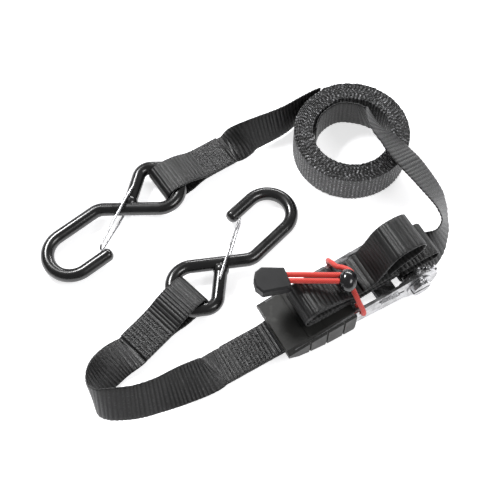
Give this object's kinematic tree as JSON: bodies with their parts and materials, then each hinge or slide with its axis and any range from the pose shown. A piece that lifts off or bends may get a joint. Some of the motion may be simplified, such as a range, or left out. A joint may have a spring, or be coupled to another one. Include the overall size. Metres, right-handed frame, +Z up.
{
  "type": "ratchet tie down",
  "caption": "Ratchet tie-down: a coiled long strap and a short sewn strap on a hand ratchet, each ending in a vinyl-dipped gated hook.",
  "frame": {"origin": "centre of the laid-out strap's bounding box, on the surface it lies on", "axes": "+Z up; +X from the hooks towards the ratchet; +Y from the ratchet towards the coiled strap"},
  "size_m": [0.2859, 0.2526, 0.0641],
  "materials": {
    "hook_coating": "glossy black dipped coating",
    "gate_wire": "bright spring wire",
    "zinc_steel": "zinc plated, satin",
    "dark_steel": "dark plated steel",
    "webbing": "woven polyester, dark grey",
    "thread": "polyester sewing thread",
    "grip": "moulded soft grip, matte with worn edges",
    "elastic": "salmon red elastic cord",
    "toggle": "glossy black",
    "cap": "matte dark grey"
  },
  "bodies": {
    "strap_and_frame": {"base_frame": "zinc_steel", "anchor_bolt": "zinc_steel", "anchor_nut": "zinc_steel", "anchor_sleeve": "zinc_steel", "base_pawl_spring": "gate_wire", "stitching_long_hook": "thread", "stitching_short_hook": "thread", "stitching_short_anchor": "thread", "webbing_long_hook_loop": "webbing", "webbing_long_run": "webbing", "webbing_roll": "webbing", "webbing_lead": "webbing", "webbing_short_hook_loop": "webbing", "webbing_short_run": "webbing", "webbing_short_anchor_loop": "webbing"},
    "long_hook": {"hook_long": "hook_coating"},
    "long_gate": {"hook_long_gate": "gate_wire"},
    "short_hook": {"hook_short": "hook_coating"},
    "short_gate": {"hook_short_gate": "gate_wire"},
    "base_pawl": {"base_pawl": "dark_steel"},
    "spindle": {"spindle_lower_half": "zinc_steel", "spindle_upper_half": "zinc_steel", "ratchet_wheel_near": "zinc_steel", "ratchet_wheel_far": "zinc_steel", "spindle_washers": "zinc_steel", "split_pins": "zinc_steel", "webbing_in_spindle": "webbing"},
    "handle": {"handle_frame": "zinc_steel", "handle_grip": "grip", "drive_pawl_spring": "gate_wire", "webbing_tail_loop": "webbing", "webbing_tail_folds": "webbing", "webbing_tail_crest": "webbing", "elastic_near": "elastic", "elastic_far": "elastic", "elastic_knots": "elastic", "cord_end_cap": "cap"},
    "drive_pawl": {"drive_pawl": "zinc_steel", "drive_pawl_pull": "zinc_steel"},
    "cord_toggle": {"cord_toggle": "toggle"}
  },
  "joints": [
    {"name": "long_hook_swing", "type": "hinge", "parent": "strap_and_frame", "child": "long_hook", "pos_m": [-0.04996, 0.05542, 0.00925], "axis": [-0.565, 0.8251, 0], "range_deg": [0, 60], "deforming": ["webbing_long_hook_loop"]},
    {"name": "long_gate_pivot", "type": "hinge", "parent": "long_hook", "child": "long_gate", "pos_m": [-0.0793, 0.0441, 0.00813], "axis": [-0.0302, -0.0207, 0.9993], "range_deg": [-20, 0], "stiffness_Nm_per_rad": 0.02, "springref_deg": 5.73},
    {"name": "short_hook_swing", "type": "hinge", "parent": "strap_and_frame", "child": "short_hook", "pos_m": [-0.0437, -0.04441, 0.00925], "axis": [0.7193, -0.6947, 0], "range_deg": [0, 60], "deforming": ["webbing_short_hook_loop"]},
    {"name": "short_gate_pivot", "type": "hinge", "parent": "short_hook", "child": "short_gate", "pos_m": [-0.017, -0.02834, 0.00815], "axis": [0.0254, 0.0264, 0.9993], "range_deg": [-20, 0], "stiffness_Nm_per_rad": 0.02, "springref_deg": 5.73},
    {"name": "base_pawl_slide", "type": "slide", "parent": "strap_and_frame", "child": "base_pawl", "axis": [-0.8138, -0.4698, -0.342], "range_m": [0, 0.0036], "stiffness_N_per_m": 300, "springref_m": -0.004, "deforming": ["base_pawl_spring"]},
    {"name": "spindle_turn", "type": "hinge", "parent": "strap_and_frame", "child": "spindle", "pos_m": [0.1073, -0.0169, 0.017], "axis": [-0.5, 0.866, 0], "continuous": true},
    {"name": "handle_pivot", "type": "hinge", "parent": "strap_and_frame", "child": "handle", "pos_m": [0.1073, -0.0169, 0.017], "axis": [-0.5, 0.866, 0], "range_deg": [0, 60], "deforming": ["webbing_tail_loop", "webbing_tail_crest"]},
    {"name": "drive_pawl_slide", "type": "slide", "parent": "handle", "child": "drive_pawl", "axis": [-0.8529, -0.4924, 0.1736], "range_m": [-0.0031, 0], "deforming": ["drive_pawl_spring"]},
    {"name": "toggle_slide", "type": "slide", "parent": "handle", "child": "cord_toggle", "axis": [-0.9996, -0.0054, 0.0271], "range_m": [0, 0.01]}
  ]
}
